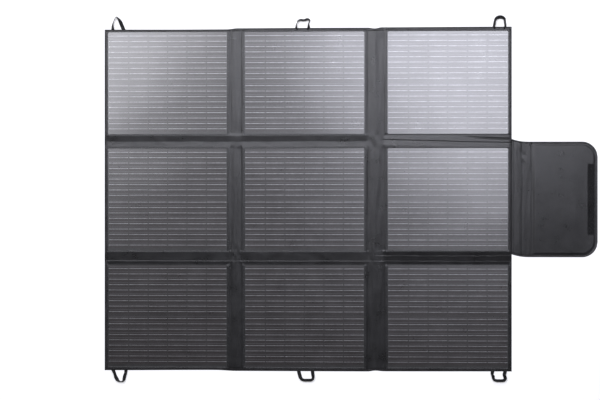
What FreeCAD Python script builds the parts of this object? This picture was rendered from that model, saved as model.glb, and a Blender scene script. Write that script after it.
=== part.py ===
"""Folding solar blanket: nine rigid solar tiles sewn into one cloth, three wide and three high.

The blanket lies open and flat, cells up.  +X runs to the right, +Y to the top edge, +Z out of
the cells.  The origin is on the back of the centre tile, in its middle.

It packs up in a fixed order.  The top row folds over the middle row, and the bottom row over
that.  The left column then folds over the centre column, the right column over both, and the
closing flap goes round the pack to the back of the centre tile.  Each later fold has to clear
more layers, so the cloth between the tiles is wider there: a row folds on one crease in the
middle of its cloth, and a column on the two creases at the sides of a spine.

Sizes are in millimetres.
"""

import FreeCAD
import Part

import math
import os

Vector = FreeCAD.Vector

# ---------------------------------------------------------------- solar cells of one tile
strip_width = 64.0  # along X, a strip sawn from a square cell
strip_length = 166.0  # along Y, the full cell
strip_gap = 2.0
strips_per_bank = 6
bank_gap = 3.0
banks_per_tile = 2
cell_thickness = 0.3
side_border = 5.5  # from the cells to the side of the window
top_border = 3.0
bottom_border = 8.0

ribbon_width = 1.4
ribbon_thickness = 0.25
ribbons_per_bank = 9
ribbon_margin = 10.2  # a cell's edge to the middle of its first ribbon
ribbon_overhang = 1.5  # past the outer strips, to the hidden bus bars

# ---------------------------------------------------------------- laminate and its cloth pocket
lip_width = 4.0  # cloth that laps over the laminate's edge
laminate_thickness = 2.2
fabric_thickness = 0.9
seat_clearance = 0.1
side_clearance = 0.3
pocket_wall = 1.6
pocket_chamfer = 1.3

# ---------------------------------------------------------------- cloth between and round the tiles
row_gap = 48.0  # window to window, from one row to the next
crease_margin = 12.4  # left column's windows to their crease
hem_margin = 12.0  # window to the cloth's outer edge
tuck_clearance = 0.9  # folded left column to the right spine
hem_width = 8.0  # the turned and sewn part
hem_thickness = 2.7
hem_chamfer = 0.7
layer_clearance = 1.8  # between folded tiles, room for a webbing loop

# ---------------------------------------------------------------- closing flap
flap_reach = 287.0  # from the cloth's edge to the flap's end
flap_shoulder = 3.0  # row crease to the flap's side
flap_corner_radius = 52.0
flap_root = 8.0  # cloth between the hem and the first crease
flap_slack = 3.0
flare_height = 12.0
flare_length = 34.0
binding_width = 5.0
binding_thickness = 2.5
flap_seam = 13.0  # flat edge round the stiffener
board_thickness = 1.2
hook_width = 25.0
hook_length = 240.0
hook_thickness = 1.2
hook_inset = 9.0  # from the flap's end
loop_strip_width = 50.0
loop_strip_thickness = 0.5
loop_strip_play = 0.05

# ---------------------------------------------------------------- webbing loops for hanging and pegging
strap_width = 9.0
strap_thickness = 1.2
strap_reach = 40.0
strap_span = 50.0
strap_corner_radius = 17.0
strap_edge_inset = 45.0  # middle of a corner loop to the side edge
strap_clearance = 0.3

# ---------------------------------------------------------------- output of the centre tile
diode_length = 90.0
diode_width = 36.0
diode_thickness = 1.3
diode_inset = 96.5  # from the laminate's right side, which keeps it clear of the closed flap
gland_length = 26.0
gland_width = 14.0
gland_play = 0.05

# ---------------------------------------------------------------- worked out from the above
bank_width = strips_per_bank * (strip_width + strip_gap) - strip_gap
window_width = bank_width + 2 * side_border
window_height = (
    banks_per_tile * (strip_length + bank_gap) - bank_gap + top_border + bottom_border
)
ribbon_pitch = (strip_length - 2 * ribbon_margin) / (ribbons_per_bank - 1)
laminate_width = window_width + 2 * lip_width
laminate_height = window_height + 2 * lip_width
diode_x = laminate_width / 2 - diode_inset
laminate_bottom = fabric_thickness + seat_clearance
laminate_top = laminate_bottom + laminate_thickness
lip_bottom = laminate_top + seat_clearance
tile_thickness = lip_bottom + fabric_thickness
seam_thickness = 2 * fabric_thickness

left_spine_width = 6 * tile_thickness + 5 * layer_clearance
right_spine_width = 9 * tile_thickness + 8 * layer_clearance
left_gap = left_spine_width + 2 * crease_margin
right_gap = right_spine_width + 2 * (hem_margin + tuck_clearance)
flap_thickness = board_thickness + 2 * fabric_thickness
flap_spine_width = right_spine_width + flap_thickness + hook_thickness + flap_slack

column_x = {
    "left": -(window_width + left_gap),
    "centre": 0.0,
    "right": window_width + right_gap,
}
row_y = {
    "top": window_height + row_gap,
    "middle": 0.0,
    "bottom": -(window_height + row_gap),
}
spine_x = {
    "left": -(window_width + left_gap) / 2,
    "right": (window_width + right_gap) / 2,
}
spine_width = {"left": left_spine_width, "right": right_spine_width}

left_edge = column_x["left"] - window_width / 2 - hem_margin
right_edge = column_x["right"] + window_width / 2 + hem_margin
top_edge = row_y["top"] + window_height / 2 + hem_margin
bottom_edge = row_y["bottom"] - window_height / 2 - hem_margin
row_crease = (window_height + row_gap) / 2  # from the middle, up and down
flap_crease = right_edge + flap_root
flap_start = flap_crease + flap_spine_width
flap_end = right_edge + flap_reach
flap_height = 2 * (row_crease - flap_shoulder)
flare_half_height = flap_height / 2 + flare_height

column_span = {
    "left": (left_edge, spine_x["left"] - left_spine_width / 2),
    "centre": (spine_x["left"] + left_spine_width / 2, spine_x["right"] - right_spine_width / 2),
    "right": (spine_x["right"] + right_spine_width / 2, right_edge),
}
row_span = {
    "top": (row_crease, top_edge),
    "middle": (-row_crease, row_crease),
    "bottom": (bottom_edge, -row_crease),
}
strap_x = {
    "left": left_edge + strap_edge_inset,
    "centre": 0.0,
    "right": right_edge - strap_edge_inset,
}
hook_x = flap_end - hook_inset - hook_width / 2
# The closed flap turns round both creases, so a point on it lands this far left of the centre tile.
loop_strip_x = 2 * spine_x["right"] - flap_crease + (hook_x - flap_start)


def slab(x0, x1, y0, y1, z0, z1):
    """A block between two corners."""
    return Part.makeBox(x1 - x0, y1 - y0, z1 - z0, Vector(x0, y0, z0))


def centred_slab(x, y, width, height, z0, z1):
    """A block round a middle point."""
    return slab(x - width / 2, x + width / 2, y - height / 2, y + height / 2, z0, z1)


def top_edges(shape):
    """The edges that lie wholly in the top face of a shape."""
    top = shape.BoundBox.ZMax
    return [e for e in shape.Edges if all(abs(v.Z - top) < 1e-6 for v in e.Vertexes)]


def chamfered(shape, size):
    """The shape with its top edges cut back, as cloth slopes off at a seam."""
    return shape.makeChamfer(size, top_edges(shape))


def compound(solids):
    """Separate solids of one node."""
    return Part.makeCompound(solids)


def hem_strips(x0, x1, y0, y1):
    """The turned hem along each outer edge that a piece of the cloth has."""
    strips = []
    if abs(x0 - left_edge) < 1e-6:
        strips.append((x0, x0 + hem_width, y0, y1))
    if abs(x1 - right_edge) < 1e-6:
        strips.append((x1 - hem_width, x1, y0, y1))
    if abs(y1 - top_edge) < 1e-6:
        strips.append((x0, x1, y1 - hem_width, y1))
    if abs(y0 - bottom_edge) < 1e-6:
        strips.append((x0, x1, y0, y0 + hem_width))
    return [chamfered(slab(*s, 0, hem_thickness), hem_chamfer) for s in strips]


def cover(column, row):
    """Cloth shell of one tile: back sheet, raised pocket round the laminate, window and hems."""
    x, y = column_x[column], row_y[row]
    x0, x1 = column_span[column]
    y0, y1 = row_span[row]
    pocket_width = laminate_width + 2 * side_clearance
    pocket_height = laminate_height + 2 * side_clearance
    block = centred_slab(
        x, y, pocket_width + 2 * pocket_wall, pocket_height + 2 * pocket_wall, 0, tile_thickness
    )
    shape = slab(x0, x1, y0, y1, 0, seam_thickness)
    shape = shape.fuse([chamfered(block, pocket_chamfer)] + hem_strips(x0, x1, y0, y1))
    pocket = centred_slab(x, y, pocket_width, pocket_height, fabric_thickness, lip_bottom)
    window = centred_slab(x, y, window_width, window_height, laminate_top, tile_thickness + 1)
    return shape.cut([pocket, window])


def add_flap_root(shape):
    """The strip past the right hem that carries the flap, flared clear of the rows beside it."""
    join = row_crease - strap_clearance
    root = slab(right_edge, flap_crease, -join, join, 0, seam_thickness)
    flare = slab(
        right_edge + strap_clearance, flap_crease, -flare_half_height, flare_half_height,
        0, seam_thickness,
    )
    return shape.fuse([root, flare])


def gland_outline(play):
    """The oval of the cable gland, as a face on the back of the centre tile."""
    radius = gland_width / 2 + play
    half = (gland_length - gland_width) / 2
    left, right = diode_x - half, diode_x + half
    wire = Part.Wire(
        [
            Part.LineSegment(Vector(left, -radius, 0), Vector(right, -radius, 0)).toShape(),
            Part.Arc(
                Vector(right, -radius, 0), Vector(right + radius, 0, 0), Vector(right, radius, 0)
            ).toShape(),
            Part.LineSegment(Vector(right, radius, 0), Vector(left, radius, 0)).toShape(),
            Part.Arc(
                Vector(left, radius, 0), Vector(left - radius, 0, 0), Vector(left, -radius, 0)
            ).toShape(),
        ]
    )
    return Part.Face(wire)


def cable_gland():
    """Rubber gland flush with the back cloth, where the output lead comes out."""
    return gland_outline(0).extrude(Vector(0, 0, fabric_thickness))


def loop_strip(play=0.0):
    """Soft half of the touch fastener, let into the back of the centre tile."""
    return centred_slab(
        loop_strip_x, 0, loop_strip_width + 2 * play, hook_length + 2 * play,
        0, loop_strip_thickness + play,
    )


def add_centre_back(shape):
    """Holes in the centre tile's back cloth for the gland and the touch fastener."""
    gland_hole = gland_outline(gland_play).extrude(Vector(0, 0, fabric_thickness))
    return shape.cut([gland_hole, loop_strip(loop_strip_play)])


def diode_block(play=0.0):
    """Flat potted module with the bypass diodes, in the back of the centre laminate."""
    top = laminate_bottom + diode_thickness + play
    return centred_slab(
        diode_x, 0, diode_length + 2 * play, diode_width + 2 * play, laminate_bottom, top
    )


def laminate(column, row):
    """Stiff sheet that carries the cells, with a recess for the diode module in the centre tile."""
    x, y = column_x[column], row_y[row]
    sheet = centred_slab(x, y, laminate_width, laminate_height, laminate_bottom, laminate_top)
    if (column, row) == ("centre", "middle"):
        sheet = sheet.cut(diode_block(side_clearance))
    return sheet


def bank_centres(row):
    """Y of the middle of each bank of cells in a row, from the top."""
    first = row_y[row] + window_height / 2 - top_border - strip_length / 2
    return [first - n * (strip_length + bank_gap) for n in range(banks_per_tile)]


def cells(column, row):
    """The cell strips of one tile, side by side along X in each bank."""
    pitch = strip_width + strip_gap
    first = column_x[column] - (strips_per_bank - 1) * pitch / 2
    return compound(
        [
            centred_slab(
                first + n * pitch, y, strip_width, strip_length,
                laminate_top, laminate_top + cell_thickness,
            )
            for y in bank_centres(row)
            for n in range(strips_per_bank)
        ]
    )


def ribbons(column, row):
    """Flat tinned wires that run across all the strips of a bank."""
    length = bank_width + 2 * ribbon_overhang
    bottom = laminate_top + cell_thickness
    return compound(
        [
            centred_slab(
                column_x[column], y + (n - (ribbons_per_bank - 1) / 2) * ribbon_pitch,
                length, ribbon_width, bottom, bottom + ribbon_thickness,
            )
            for y in bank_centres(row)
            for n in range(ribbons_per_bank)
        ]
    )


def spine(side, row):
    """Two layers of cloth between two columns, from crease to crease."""
    x, half = spine_x[side], spine_width[side] / 2
    y0, y1 = row_span[row]
    shape = slab(x - half, x + half, y0, y1, 0, seam_thickness)
    hems = hem_strips(x - half, x + half, y0, y1)
    return shape.fuse(hems) if hems else shape


def arc_through(start, middle, end):
    """A circular edge through three points."""
    return Part.Arc(start, middle, end).toShape()


def line(start, end):
    """A straight edge."""
    return Part.LineSegment(start, end).toShape()


def flap_outline(inset=0.0):
    """The flap as a face: straight at its crease, with two round corners at its free end."""
    x0, x1 = flap_start + inset, flap_end - inset
    half = flap_height / 2 - inset
    radius = flap_corner_radius - inset
    bend = radius * math.sqrt(0.5)
    edges = [
        line(Vector(x0, -half, 0), Vector(x1 - radius, -half, 0)),
        arc_through(
            Vector(x1 - radius, -half, 0),
            Vector(x1 - radius + bend, -half + radius - bend, 0),
            Vector(x1, -half + radius, 0),
        ),
        line(Vector(x1, -half + radius, 0), Vector(x1, half - radius, 0)),
        arc_through(
            Vector(x1, half - radius, 0),
            Vector(x1 - radius + bend, half - radius + bend, 0),
            Vector(x1 - radius, half, 0),
        ),
        line(Vector(x1 - radius, half, 0), Vector(x0, half, 0)),
        line(Vector(x0, half, 0), Vector(x0, -half, 0)),
    ]
    return Part.Face(Part.Wire(edges))


def prism(face, z0, z1):
    """A face in the XY plane made into a block between two heights."""
    block = face.extrude(Vector(0, 0, z1 - z0))
    block.translate(Vector(0, 0, z0))
    return block


def flap_cover():
    """Cloth of the flap: a bound edge, a flat seam, and a closed pocket round the stiffener."""
    inside_binding = prism(flap_outline(binding_width), -1, binding_thickness + 1)
    binding = prism(flap_outline(), 0, binding_thickness).cut(inside_binding)
    sheet = prism(flap_outline(), 0, seam_thickness)
    pad = chamfered(prism(flap_outline(flap_seam - fabric_thickness), 0, flap_thickness), hem_chamfer)
    pocket = prism(
        flap_outline(flap_seam), fabric_thickness, fabric_thickness + board_thickness
    )
    return sheet.fuse([binding, pad]).cut(pocket)


def flap_board():
    """Stiffener inside the flap, which keeps it flat."""
    outline = flap_outline(flap_seam + side_clearance)
    return prism(outline, fabric_thickness, fabric_thickness + board_thickness)


def flap_spine():
    """Cloth between the flap's two creases, wider at the blanket and narrowing in a curve."""
    radius = (flare_length**2 + flare_height**2) / (2 * flare_height)
    turn = math.asin(flare_length / radius) / 2
    half, wide = flap_height / 2, flare_half_height
    x0, bend_end, x1 = flap_crease, flap_crease + flare_length, flap_start
    bend_x = bend_end - radius * math.sin(turn)
    bend_y = half + radius * (1 - math.cos(turn))
    edges = [
        arc_through(Vector(x0, -wide, 0), Vector(bend_x, -bend_y, 0), Vector(bend_end, -half, 0)),
        line(Vector(bend_end, -half, 0), Vector(x1, -half, 0)),
        line(Vector(x1, -half, 0), Vector(x1, half, 0)),
        line(Vector(x1, half, 0), Vector(bend_end, half, 0)),
        arc_through(Vector(bend_end, half, 0), Vector(bend_x, bend_y, 0), Vector(x0, wide, 0)),
        line(Vector(x0, wide, 0), Vector(x0, -wide, 0)),
    ]
    return prism(Part.Face(Part.Wire(edges)), 0, seam_thickness)


def hook_strip():
    """Hooked half of the touch fastener, on the cell side of the flap's end."""
    return centred_slab(
        hook_x, 0, hook_width, hook_length, flap_thickness, flap_thickness + hook_thickness
    )


def arch_outline(inset):
    """A U standing on the X axis, open at its foot, as a closed face."""
    half = strap_span / 2 - inset
    top = strap_reach - inset
    radius = strap_corner_radius - inset
    bend = radius * math.sqrt(0.5)
    edges = [
        line(Vector(half, 0, 0), Vector(half, top - radius, 0)),
        arc_through(
            Vector(half, top - radius, 0),
            Vector(half - radius + bend, top - radius + bend, 0),
            Vector(half - radius, top, 0),
        ),
        line(Vector(half - radius, top, 0), Vector(-half + radius, top, 0)),
        arc_through(
            Vector(-half + radius, top, 0),
            Vector(-half + radius - bend, top - radius + bend, 0),
            Vector(-half, top - radius, 0),
        ),
        line(Vector(-half, top - radius, 0), Vector(-half, 0, 0)),
        line(Vector(-half, 0, 0), Vector(half, 0, 0)),
    ]
    return Part.Face(Part.Wire(edges))


def strap(column, row):
    """Webbing loop at an edge of the cloth, lying flat and pointing away from it."""
    low = strap_clearance
    band = prism(arch_outline(0), low, low + strap_thickness)
    loop = band.cut(prism(arch_outline(strap_width), low - 1, low + strap_thickness + 1))
    foot = Vector(strap_x[column], top_edge + strap_clearance, 0)
    if row == "bottom":
        loop.rotate(Vector(0, 0, 0), Vector(0, 0, 1), 180)
        foot = Vector(strap_x[column], bottom_edge - strap_clearance, 0)
    loop.translate(foot)
    return loop


def build():
    """Every node of the blanket, by name."""
    nodes = {}
    for row in row_y:
        for column in column_x:
            place = f"{row}_{column}"
            nodes[f"cover_{place}"] = cover(column, row)
            nodes[f"laminate_{place}"] = laminate(column, row)
            nodes[f"cells_{place}"] = cells(column, row)
            nodes[f"ribbons_{place}"] = ribbons(column, row)
        for side in spine_x:
            nodes[f"spine_{row}_{side}"] = spine(side, row)
    nodes["cover_middle_right"] = add_flap_root(nodes["cover_middle_right"])
    nodes["cover_middle_centre"] = add_centre_back(nodes["cover_middle_centre"])
    for row in ("top", "bottom"):
        for column in column_x:
            nodes[f"strap_{row}_{column}"] = strap(column, row)
    nodes["flap_spine"] = flap_spine()
    nodes["flap_cover"] = flap_cover()
    nodes["flap_board"] = flap_board()
    nodes["hook_strip"] = hook_strip()
    nodes["loop_strip"] = loop_strip()
    nodes["diode_module"] = diode_block()
    nodes["cable_gland"] = cable_gland()
    return nodes


os.makedirs("parts", exist_ok=True)
for name, shape in build().items():
    shape.exportStep(f"parts/{name}.step")
    print(f"{name:26s} {len(shape.Solids):3d} solids {shape.Volume / 1000:9.2f} cm3 valid {shape.isValid()}")
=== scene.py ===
import math

import bmesh
import bpy
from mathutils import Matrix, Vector, noise


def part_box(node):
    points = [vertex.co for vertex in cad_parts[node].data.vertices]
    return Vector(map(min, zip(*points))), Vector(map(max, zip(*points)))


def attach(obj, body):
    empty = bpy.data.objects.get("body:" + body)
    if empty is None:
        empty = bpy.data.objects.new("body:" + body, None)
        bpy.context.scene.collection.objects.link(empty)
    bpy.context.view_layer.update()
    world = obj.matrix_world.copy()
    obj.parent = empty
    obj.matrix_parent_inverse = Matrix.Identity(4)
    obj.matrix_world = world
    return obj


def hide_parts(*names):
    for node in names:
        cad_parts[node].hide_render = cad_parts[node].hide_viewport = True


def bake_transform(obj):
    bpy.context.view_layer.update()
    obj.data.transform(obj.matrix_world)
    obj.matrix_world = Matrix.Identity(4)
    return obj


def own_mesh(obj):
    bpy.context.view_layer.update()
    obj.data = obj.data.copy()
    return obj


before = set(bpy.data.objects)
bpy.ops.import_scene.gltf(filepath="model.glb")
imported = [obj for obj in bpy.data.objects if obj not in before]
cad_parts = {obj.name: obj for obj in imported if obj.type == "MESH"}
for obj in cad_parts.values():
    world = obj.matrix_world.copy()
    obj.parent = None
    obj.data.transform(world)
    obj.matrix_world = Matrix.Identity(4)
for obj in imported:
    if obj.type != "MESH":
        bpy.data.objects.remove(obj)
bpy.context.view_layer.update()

MM = 0.001

ROWS = ("top", "middle", "bottom")
COLUMNS = ("left", "centre", "right")
SIDES = ("left", "right")

# ---------------------------------------------------------------- sizes read from the frame
LIP = 4.0 * MM  # the cloth laps this far over a laminate


def low(node):
    """Lowest corner of a CAD node."""
    return Vector(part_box(node)[0])


def high(node):
    """Highest corner of a CAD node."""
    return Vector(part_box(node)[1])


class Rect:
    """An upright rectangle in the plane of the mat."""

    def __init__(self, x0, x1, y0, y1):
        self.x0, self.x1, self.y0, self.y1 = x0, x1, y0, y1
        self.x, self.y = (x0 + x1) / 2, (y0 + y1) / 2
        self.half_x, self.half_y = (x1 - x0) / 2, (y1 - y0) / 2

    def grown(self, by):
        """The rectangle with each side moved outwards."""
        return Rect(self.x0 - by, self.x1 + by, self.y0 - by, self.y1 + by)

    def sides(self):
        """Start and end point of each side, anticlockwise."""
        corners = [(self.x0, self.y0), (self.x1, self.y0), (self.x1, self.y1), (self.x0, self.y1)]
        return list(zip(corners, corners[1:] + corners[:1]))

    def distance(self, x, y, radius=0.0):
        """How far a point lies outside the rectangle with rounded corners; negative inside."""
        dx = abs(x - self.x) - self.half_x + radius
        dy = abs(y - self.y) - self.half_y + radius
        return math.hypot(max(dx, 0), max(dy, 0)) + min(max(dx, dy), 0) - radius


def rect_of(node):
    """Outline of a CAD node from above."""
    a, b = low(node), high(node)
    return Rect(a.x, b.x, a.y, b.y)


WINDOW = {(r, c): rect_of(f"laminate_{r}_{c}").grown(-LIP) for r in ROWS for c in COLUMNS}
MAT = Rect(
    low("cover_top_left").x, high("cover_top_right").x,
    low("cover_bottom_left").y, high("cover_top_left").y,
)
SPINE = {s: rect_of(f"spine_middle_{s}") for s in SIDES}
FLAP = rect_of("flap_cover")
FLAP_SPINE = rect_of("flap_spine")
ROW_CREASE = SPINE["left"].y1

CLOTH_TOP = high("spine_middle_left").z
HEM_TOP = high("spine_top_left").z
POCKET_TOP = high("cover_middle_left").z
LAMINATE_TOP = high("laminate_middle_left").z
FLAP_TOP = low("hook_strip").z
GAP_LIFT = 1.5 * MM  # the front cloth spans a gap this much above the flat seam
BACK = 0.3 * MM  # back cloth, just above the touch fastener let into it

WINDOW_RADIUS = 4.0 * MM
POCKET_START, POCKET_END = 4.6 * MM, 13.5 * MM  # from a window, where the cloth slopes down
WINDOW_SEAM = 3.0 * MM
HEM_WIDTH = 8.0 * MM
HEM_SEAM = 5.6 * MM
HEM_ROUND = 2.6 * MM
FLAP_RADIUS = 52.0 * MM
FLAP_SEAM = 13.0 * MM
BINDING = 5.0 * MM

# two banks of six cell strips on a tile, and nine ribbons on each bank
STRIP_GAP = 2.0 * MM
BANK_GAP = 3.0 * MM
CELLS_LOW, CELLS_HIGH = low("cells_middle_centre"), high("cells_middle_centre")
STRIP_PITCH = (CELLS_HIGH.x - CELLS_LOW.x + STRIP_GAP) / 6
STRIP_LENGTH = (CELLS_HIGH.y - CELLS_LOW.y - BANK_GAP) / 2
RIBBON_PITCH = 18.2 * MM
FINGER_PITCH = 1.6 * MM
BANK_OFFSET = (BANK_GAP + STRIP_LENGTH) / 2
ROW_PITCH = WINDOW["top", "centre"].y0 - WINDOW["middle", "centre"].y0


# ---------------------------------------------------------------- mesh helpers
def new_object(name, data):
    """A linked object for a mesh, a lamp or a camera."""
    obj = bpy.data.objects.new(name, data)
    bpy.context.scene.collection.objects.link(obj)
    return obj


def finish_mesh(bm, name, material, sharp_degrees=50):
    """Turns a bmesh into an object with outward faces, smooth shading and one material."""
    bmesh.ops.recalc_face_normals(bm, faces=bm.faces)
    mesh = bpy.data.meshes.new(name)
    bm.to_mesh(mesh)
    bm.free()
    mesh.polygons.foreach_set("use_smooth", [True] * len(mesh.polygons))
    mesh.set_sharp_from_angle(angle=math.radians(sharp_degrees))
    mesh.materials.append(material)
    return new_object(name, mesh)


def bridge(bm, loop_a, loop_b, closed=True):
    """Quads between two rings of vertices with the same count."""
    count = len(loop_a)
    for i in range(count if closed else count - 1):
        j = (i + 1) % count
        bm.faces.new((loop_a[i], loop_a[j], loop_b[j], loop_b[i]))


def closed_tube(bm, rings, name, material, sharp_degrees=50):
    """A closed object from rings of vertices."""
    for a, b in zip(rings, rings[1:]):
        bridge(bm, a, b)
    bm.faces.new(rings[0])
    bm.faces.new(rings[-1])
    return finish_mesh(bm, name, material, sharp_degrees)


def steps(start, end, size):
    """Evenly spaced numbers from start to end, about size apart."""
    count = max(1, round(abs(end - start) / size))
    return [start + (end - start) * i / count for i in range(count + 1)]


def ramp(start, end, value):
    """0 before start, 1 after end, smooth between; start may be the larger."""
    t = min(1.0, max(0.0, (value - start) / (end - start)))
    return t * t * (3 - 2 * t)


def bump_at(value, centre, width):
    """A smooth hump of height 1."""
    return math.exp(-(((value - centre) / width) ** 2))


def rough(x, y, size_x, size_y, seed=0.0):
    """Smooth noise, about -1 to 1, stretched to a size along each axis."""
    return noise.noise(Vector((x / size_x, y / size_y, seed)))


# ---------------------------------------------------------------- the mat's relief
def window_distance(x, y):
    """Distance from the nearest tile's window."""
    return min(w.distance(x, y, WINDOW_RADIUS) for w in WINDOW.values())


# front surface of the cloth between rows: distance up from the crease and height (mm), from the
# lower row's laminate to the upper row's; short steep steps let the long faces lean. 1 is the gap
# above the middle row, -1 the one below it
FOLDS = {
    ("left", 1): ((-24, 4.1), (-8, 3.5), (-1, 3.35), (19, 4.8), (21.5, 4.3), (24, 4.2)),
    ("right", 1): (
        (-24, 4.2), (-22.4, 4.65), (-3, 3.25), (-1.8, 4.2), (20, 3.05), (22, 3.2), (24, 4.2),
    ),
    ("left", -1): ((-24, 3.5), (-11.4, 4.5), (-10.8, 3.4), (20.6, 4.7), (21.2, 4.1), (24, 4.2)),
    ("right", -1): (
        (-24, 3.2), (-11.4, 4.6), (-10.8, 3.0), (7, 4.7), (7.6, 3.1), (22, 4.6), (24, 4.2),
    ),
}
FOLD_REACH, FOLD_EDGE = 26, 24  # a fold ends between these distances from its crease (mm)
# how far a row's fold fades where it crosses a side strip
FOLD_FADE = {("left", 1): 0.35, ("right", 1): 0.9, ("left", -1): 0.85, ("right", -1): 0.85}


def along_profile(profile, s):
    """Height on a profile of (distance, height) points, its corners a little rounded."""
    total = 0.0
    for shift in (-0.5, 0.0, 0.5):
        t = min(profile[-1][0], max(profile[0][0], s + shift))
        for (sa, ha), (sb, hb) in zip(profile, profile[1:]):
            if sa <= t <= sb:
                total += ha + (hb - ha) * (t - sa) / (sb - sa)
                break
    return total / 3


def nearness(side, x):
    """1 on a side strip, 0 well away from it."""
    spine = SPINE[side]
    return ramp(14 * MM, -8 * MM, abs(x - spine.x) - spine.half_x)


def fold_share(x, row, s):
    """1 where a row's fold is whole, less past its ends and where it crosses a side strip."""
    beside = max(nearness(side, x) for side in SIDES)
    kept = ramp(FOLD_REACH, FOLD_EDGE - 16 * beside * ramp(4, -4, s), abs(s))
    for side in SIDES:
        kept *= 1 - FOLD_FADE[side, row] * nearness(side, x)
    return kept


def row_gap_height(x, y):
    """Front surface of the cloth between two rows, and how much of it holds at a point."""
    row = 1 if y > 0 else -1
    crease = row * ROW_CREASE
    s = (y - crease) / MM
    if abs(s) >= FOLD_REACH:
        return 0.0, 0.0
    share = fold_share(x, row, s)
    inside = ramp(23, 12, abs(s))
    s -= inside * 1.5 * rough(x, crease, 120 * MM, 1, 3.0)
    right = ramp(SPINE["right"].x0 - 6 * MM, SPINE["right"].x1 + 6 * MM, x)
    if row > 0:  # the right column's crease slants, and a second one comes in from the edge
        s -= inside * right * (2 - 6 * (x - WINDOW["middle", "right"].x) / (214 * MM))
    height = (1 - right) * along_profile(FOLDS["left", row], s)
    height += right * along_profile(FOLDS["right", row], s)
    if row > 0:
        entry = right * ramp(MAT.x1 - 190 * MM, MAT.x1 - 30 * MM, x)
        height -= 1.4 * entry * bump_at(s, 14.0 - 4.0 * entry, 2.6)
    else:
        height += 0.35 * right * (height - 4.0)
    pucker = 0.28 * rough(x + 0.4 * y, y, 34 * MM, 30 * MM, 5.0)
    pucker += 0.1 * rough(x - 0.5 * y, y, 12 * MM, 14 * MM, 6.0)
    return (height + inside * pucker) * MM, share


def column_gap_relief(x, y):
    """Cloth between two columns: a soft belly with lengthwise ripples between two creases."""
    for spine in SPINE.values():
        middle, half = spine.x, spine.half_x
        s = abs(x - middle)
        if s > half + 12 * MM:
            continue
        near = ramp(half + 9 * MM, half + 3 * MM, s)
        wander = 2.0 * MM * rough(middle, y, 1, 70 * MM, 14.0)
        crease = -0.35 * bump_at(s + wander, half + 0.5 * MM, 3.6 * MM)
        belly = 0.5 * ramp(half + 2 * MM, half * 0.3, s)
        if spine is SPINE["right"]:
            belly += 0.6 * bump_at(x, middle + 7 * MM * math.sin(y / (95 * MM)), 8 * MM)
        ripple = 0.75 * rough(x, y, 13 * MM, 110 * MM, 8.0)
        ripple += 0.2 * rough(x, y, 8 * MM, 36 * MM, 9.0)
        return near * (crease + belly + ripple) * MM
    return 0.0


def crossing_relief(x, y):
    """Soft folds that fan out where a row gap meets a column gap."""
    total = 0.0
    for spine in SPINE.values():
        for crease in (ROW_CREASE, -ROW_CREASE):
            far = math.hypot((x - spine.x) / (34 * MM), (y - crease) / (40 * MM))
            if far < 1.6:
                weight = ramp(1.6, 0.4, far)
                folds = 0.6 * rough(x + 0.6 * y, y - 0.4 * x, 22 * MM, 48 * MM, 12.0)
                folds += 0.2 * rough(x - 0.5 * y, y, 14 * MM, 34 * MM, 13.0)
                total += weight * folds * MM
    return total


def round_edge(height, inset, radius):
    """Height of a surface that turns down towards its outer edge."""
    if inset >= radius:
        return height
    t = 1 - max(0.0, inset) / radius
    return BACK + (height - BACK) * (0.25 + 0.75 * math.sqrt(max(0.0, 1 - t * t)))


def cloth_height(x, y):
    """Front surface of the mat's cloth."""
    d = window_distance(x, y)
    pocket = ramp(POCKET_END, POCKET_START, d)
    inset = -MAT.distance(x, y)
    hem = ramp(HEM_WIDTH + 1.2 * MM, HEM_WIDTH - 0.6 * MM, inset)
    span = CLOTH_TOP + GAP_LIFT
    height = span + (HEM_TOP - span) * hem
    height += (POCKET_TOP - height) * pocket
    relief = column_gap_relief(x, y) + crossing_relief(x, y)
    height += relief * (1 - pocket) * (1 - 0.6 * hem)
    fold, share = row_gap_height(x, y)
    height += (fold - height) * share * (1 - 0.6 * hem)
    height -= 0.16 * MM * bump_at(d, WINDOW_SEAM, 0.8 * MM)
    height -= 0.4 * MM * bump_at(inset, HEM_SEAM, 0.8 * MM)
    beside_seam = bump_at(d, 5.5 * MM, 3.5 * MM) + hem
    height += 0.16 * MM * beside_seam * rough(x, y, 8 * MM, 8 * MM, 20.0)
    height -= 0.35 * MM * ramp(1.0 * MM, 0, d)
    return max(BACK + 0.5 * MM, round_edge(height, inset, HEM_ROUND))


# how far the hem has crept outwards (mm) at places along X (mm), in the top and bottom edges
HEM_CREEP = {
    1: (
        (-679, -2.6), (-420, -3.4), (-262, -3.2), (-226, 0.2), (0, 0.6), (212, 0.4), (238, -2.0),
        (262, 1.6), (698, 2.2),
    ),
    -1: (
        (-679, 0.6), (-300, -1.6), (-232, 1.2), (0, 1.4), (212, 1.4), (240, -1.4), (270, 0.6),
        (698, -0.4),
    ),
}


def hem_creep(x, y):
    """How far a point moves in Y, since the hem isn't straight; only the hem itself moves."""
    side = 1 if y > 0 else -1
    near = ramp(MAT.y1 - 10 * MM, MAT.y1, abs(y))
    if near == 0:
        return 0.0
    places = HEM_CREEP[side]
    for (xa, a), (xb, b) in zip(places, places[1:]):
        if xa * MM - 1 * MM <= x <= xb * MM + 1 * MM:
            return side * near * (a + (b - a) * ramp(xa, xb, x / MM)) * MM
    return 0.0


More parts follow.
